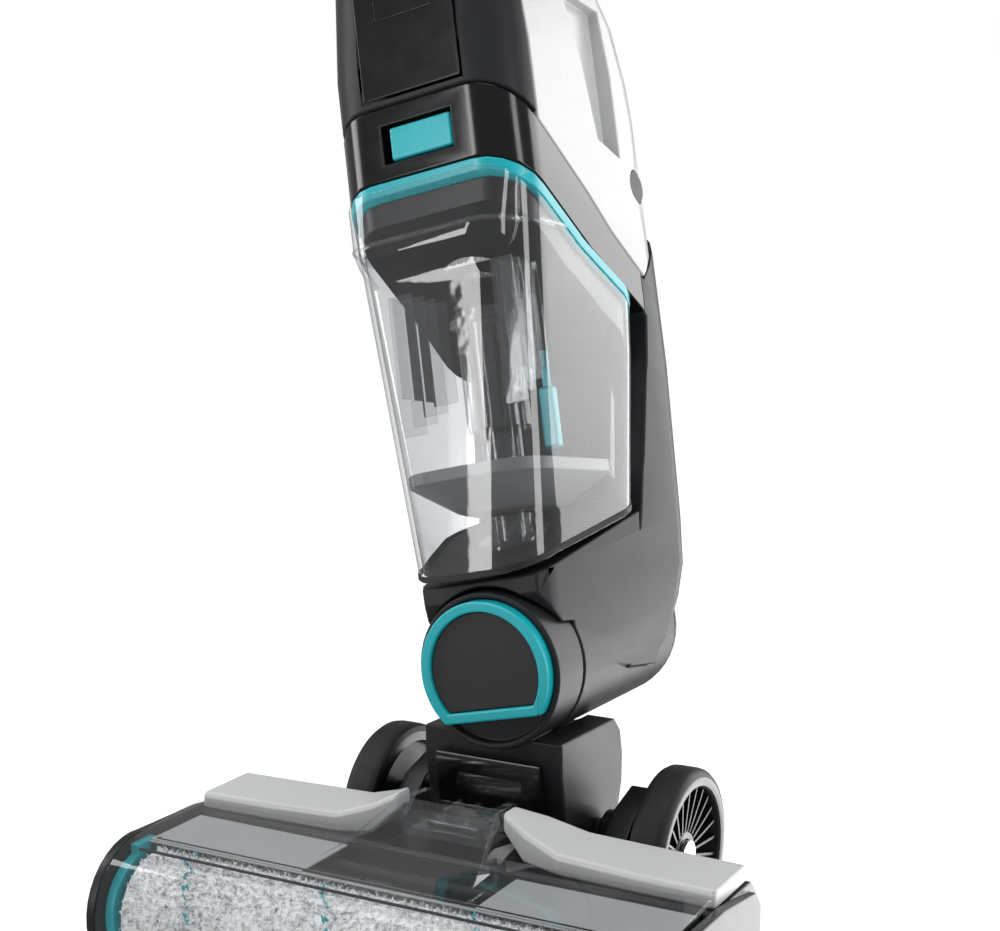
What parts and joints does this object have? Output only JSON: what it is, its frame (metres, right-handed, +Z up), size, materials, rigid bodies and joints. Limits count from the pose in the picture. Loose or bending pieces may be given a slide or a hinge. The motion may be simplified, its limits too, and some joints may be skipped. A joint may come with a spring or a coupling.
{
  "type": "wet dry floor scrubber",
  "caption": "Upright floor scrubber with a wheeled brush foot under a clear cover, a swivelling neck, a clear dirty water tank, a pale clean water tank and a loop handle.",
  "frame": {"origin": "on the floor, under the middle of the box round the whole object in its rest pose", "axes": "+Z up, -Y towards the front of the foot, X across the foot"},
  "size_m": [0.3798, 0.3952, 1.12],
  "materials": {
    "black_plastic": "satin",
    "gloss_black": "high gloss",
    "charcoal_plastic": "satin",
    "grey_plastic": "satin",
    "pale_plastic": "satin gloss",
    "teal_plastic": "satin gloss",
    "clear_plastic": "clear",
    "rubber": "matt",
    "steel": "brushed",
    "motor_metal": "satin",
    "battery": "matt case over cells",
    "handle_metal": "anodised black",
    "pile": "pile",
    "filter": "pleated",
    "board": "coated",
    "hose": "ribbed"
  },
  "bodies": {
    "foot": {"foot_chassis": "black_plastic", "base_plate": "steel", "squeegee": "rubber", "deck_panel_left": "pale_plastic", "deck_panel_right": "pale_plastic", "brush_motor": "motor_metal", "roll_end_tab": "teal_plastic", "spray_bar": "charcoal_plastic", "suction_duct": "charcoal_plastic", "wheel_carrier": "black_plastic", "axle_left": "steel", "axle_right": "steel", "drive_belt": "rubber", "cover_gasket": "rubber"},
    "cover": {"clear_cover": "clear_plastic"},
    "latch": {"cover_latch": "charcoal_plastic"},
    "roll": {"roll_core": "grey_plastic", "roll_pile": "pile", "roll_pulley": "charcoal_plastic"},
    "motor_drive": {"motor_pulley": "steel"},
    "wheel_l": {"wheel_left": "black_plastic"},
    "wheel_r": {"wheel_right": "black_plastic"},
    "yoke": {"yoke_shell": "black_plastic", "yoke_front_cover": "gloss_black", "neck_hose": "hose"},
    "body": {"barrel_ring": "teal_plastic", "barrel_disc": "charcoal_plastic", "spine_shell": "charcoal_plastic", "barrel_rear_cap": "charcoal_plastic", "collar": "gloss_black", "upper_housing": "charcoal_plastic", "front_strip": "gloss_black", "display_lens": "gloss_black", "control_board": "board", "suction_motor": "motor_metal", "water_pump": "grey_plastic", "handle_tube": "handle_metal", "handle_loop": "black_plastic"},
    "battery": {"battery_pack": "battery", "battery_door": "charcoal_plastic"},
    "tank_release": {"tank_button": "teal_plastic"},
    "fan": {"suction_fan": "grey_plastic"},
    "clean": {"clean_tank": "pale_plastic"},
    "fill_cap": {"clean_tank_cap": "charcoal_plastic"},
    "dirty": {"dirty_tank": "clear_plastic", "lid_band": "teal_plastic", "tank_lid": "charcoal_plastic", "air_filter": "filter", "pipe_sleeve": "clear_plastic", "baffle_right": "clear_plastic", "baffle_left": "clear_plastic", "intake_pipe": "clear_plastic", "separator_dish": "grey_plastic"},
    "float": {"level_float": "teal_plastic"},
    "power": {"power_button": "teal_plastic"},
    "mode": {"mode_button": "grey_plastic"},
    "trigger": {"spray_trigger": "teal_plastic"}
  },
  "joints": [
    {"name": "roll_spin", "type": "hinge", "parent": "foot", "child": "roll", "pos_m": [0.0509, -0.16419, 0.028], "axis": [1, 0, 0], "continuous": true},
    {"name": "motor_spin", "type": "hinge", "parent": "foot", "child": "motor_drive", "pos_m": [0.0509, -0.09919, 0.032], "axis": [1, 0, 0], "continuous": true},
    {"name": "wheel_left_spin", "type": "hinge", "parent": "foot", "child": "wheel_l", "pos_m": [0.0509, -0.02619, 0.0425], "axis": [1, 0, 0], "continuous": true},
    {"name": "wheel_right_spin", "type": "hinge", "parent": "foot", "child": "wheel_r", "pos_m": [0.0509, -0.02619, 0.0425], "axis": [1, 0, 0], "continuous": true},
    {"name": "cover_lift", "type": "slide", "parent": "foot", "child": "cover", "axis": [0, -0.848, 0.53], "range_m": [0, 0.045]},
    {"name": "latch_slide", "type": "slide", "parent": "cover", "child": "latch", "axis": [0, 1, 0], "range_m": [-0.003, 0.003]},
    {"name": "recline", "type": "hinge", "parent": "foot", "child": "yoke", "pos_m": [0.0509, -0.02619, 0.048], "axis": [-1, 0, 0], "range_deg": [-9.75, 48]},
    {"name": "swivel", "type": "hinge", "parent": "yoke", "child": "body", "pos_m": [0.0509, -0.07505, 0.13331], "axis": [0, 0.9997, -0.0262], "range_deg": [-30, 56]},
    {"name": "battery_slide", "type": "slide", "parent": "body", "child": "battery", "axis": [0.0323, 0.9857, -0.1657], "range_m": [0, 0.11]},
    {"name": "tank_button_press", "type": "slide", "parent": "body", "child": "tank_release", "axis": [0.0323, 0.9857, -0.1657], "range_m": [0, 0.003], "stiffness_N_per_m": 800},
    {"name": "fan_spin", "type": "hinge", "parent": "body", "child": "fan", "pos_m": [-0.00766, 0.0178, 0.38461], "axis": [-0.2226, 0.1687, 0.9602], "continuous": true},
    {"name": "clean_tank_slide", "type": "slide", "parent": "body", "child": "clean", "axis": [-0.1393, 0.8008, 0.5825], "range_m": [0, 0.13]},
    {"name": "fill_cap_pull", "type": "slide", "parent": "clean", "child": "fill_cap", "axis": [0.9744, 0.0059, 0.2249], "range_m": [0, 0.03]},
    {"name": "dirty_tank_slide", "type": "slide", "parent": "body", "child": "dirty", "axis": [-0.0323, -0.9857, 0.1657], "range_m": [0, 0.14]},
    {"name": "float_rise", "type": "slide", "parent": "dirty", "child": "float", "axis": [-0.2226, 0.1687, 0.9602], "range_m": [-0.003, 0.008]},
    {"name": "power_press", "type": "slide", "parent": "body", "child": "power", "axis": [0.0323, 0.9857, -0.1657], "range_m": [0, 0.0015], "stiffness_N_per_m": 600},
    {"name": "mode_press", "type": "slide", "parent": "body", "child": "mode", "axis": [0.0323, 0.9857, -0.1657], "range_m": [0, 0.0015], "stiffness_N_per_m": 600},
    {"name": "trigger_pull", "type": "slide", "parent": "body", "child": "trigger", "axis": [0.0323, 0.9857, -0.1657], "range_m": [0, 0.005], "stiffness_N_per_m": 500}
  ],
  "couplings": [
    {"joint": "motor_spin", "follows": "roll_spin", "ratio": 2}
  ]
}
